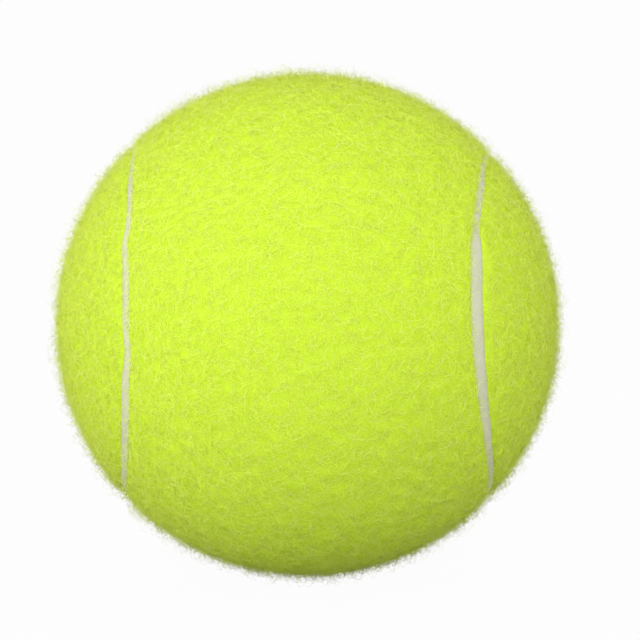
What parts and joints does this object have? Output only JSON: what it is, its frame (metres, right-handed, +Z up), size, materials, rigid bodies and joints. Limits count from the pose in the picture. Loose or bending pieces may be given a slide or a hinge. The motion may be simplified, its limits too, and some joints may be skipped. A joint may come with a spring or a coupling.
{
  "type": "tennis ball",
  "caption": "Hollow rubber ball covered in yellow felt, with interlocking dumbbell panels joined by a sunken pale rubber seam, for hitting, bouncing and rolling.",
  "frame": {"origin": "centre of the ball", "axes": "+Z up as the ball lies, -Y towards the viewer; the waist of the front panel faces -Y, tipped up by 30 degrees, and the two rubber cups meet in the plane of X and Y"},
  "size_m": [0.0666, 0.0666, 0.0666],
  "materials": {
    "felt": "napped wool and nylon felt, optic yellow",
    "seam_rubber": "matt vulcanised rubber, pale grey",
    "back_coat": "matt rubber film",
    "cement": "satin rubber cement",
    "core_rubber": "matt moulded rubber, dark grey"
  },
  "bodies": {
    "root": {"core_cup_upper": "core_rubber", "core_cup_lower": "core_rubber", "core_joint_cement": "cement", "core_cement_coat": "cement", "panel_backing_front": "back_coat", "panel_backing_back": "back_coat", "felt_panel_front": "felt", "felt_panel_back": "felt", "seam_bead": "seam_rubber"}
  },
  "joints": []
}
